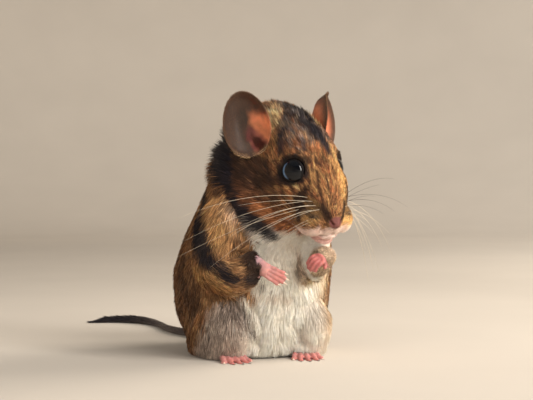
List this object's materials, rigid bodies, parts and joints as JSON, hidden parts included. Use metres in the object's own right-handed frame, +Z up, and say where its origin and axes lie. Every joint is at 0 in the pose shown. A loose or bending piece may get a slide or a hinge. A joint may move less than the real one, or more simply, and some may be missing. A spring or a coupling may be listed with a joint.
{
  "type": "gerbil",
  "caption": "Gerbil model sitting up on its haunches, hands held at its chest, with big round ears and a long tail laid on the floor behind.",
  "frame": {"origin": "middle of the flat seat, on the floor under the trunk", "axes": "the animal faces -Y with its tail laid out towards +Y, its left side is +X, and +Z is up from the floor"},
  "size_m": [0.0787, 0.1328, 0.08],
  "materials": {
    "coat": "short soft fur, golden brown with dark slate markings and a cream front",
    "dark_coat": "short dark grey fur",
    "pink_skin": "bare pink skin",
    "ear_skin": "thin bare skin",
    "eye_black": "wet gloss"
  },
  "bodies": {
    "root": {"torso": "coat", "head": "coat", "arm_left": "coat", "arm_right": "coat", "haunch_left": "coat", "haunch_right": "coat", "whiskers_left": "coat", "whiskers_right": "coat", "ear_left": "ear_skin", "ear_right": "ear_skin", "hand_left": "pink_skin", "hand_right": "pink_skin", "foot_left": "pink_skin", "foot_right": "pink_skin", "tail_1": "dark_coat", "tail_2": "dark_coat", "tail_3": "dark_coat", "tail_4": "dark_coat", "eye_left": "eye_black", "eye_right": "eye_black"}
  },
  "joints": []
}
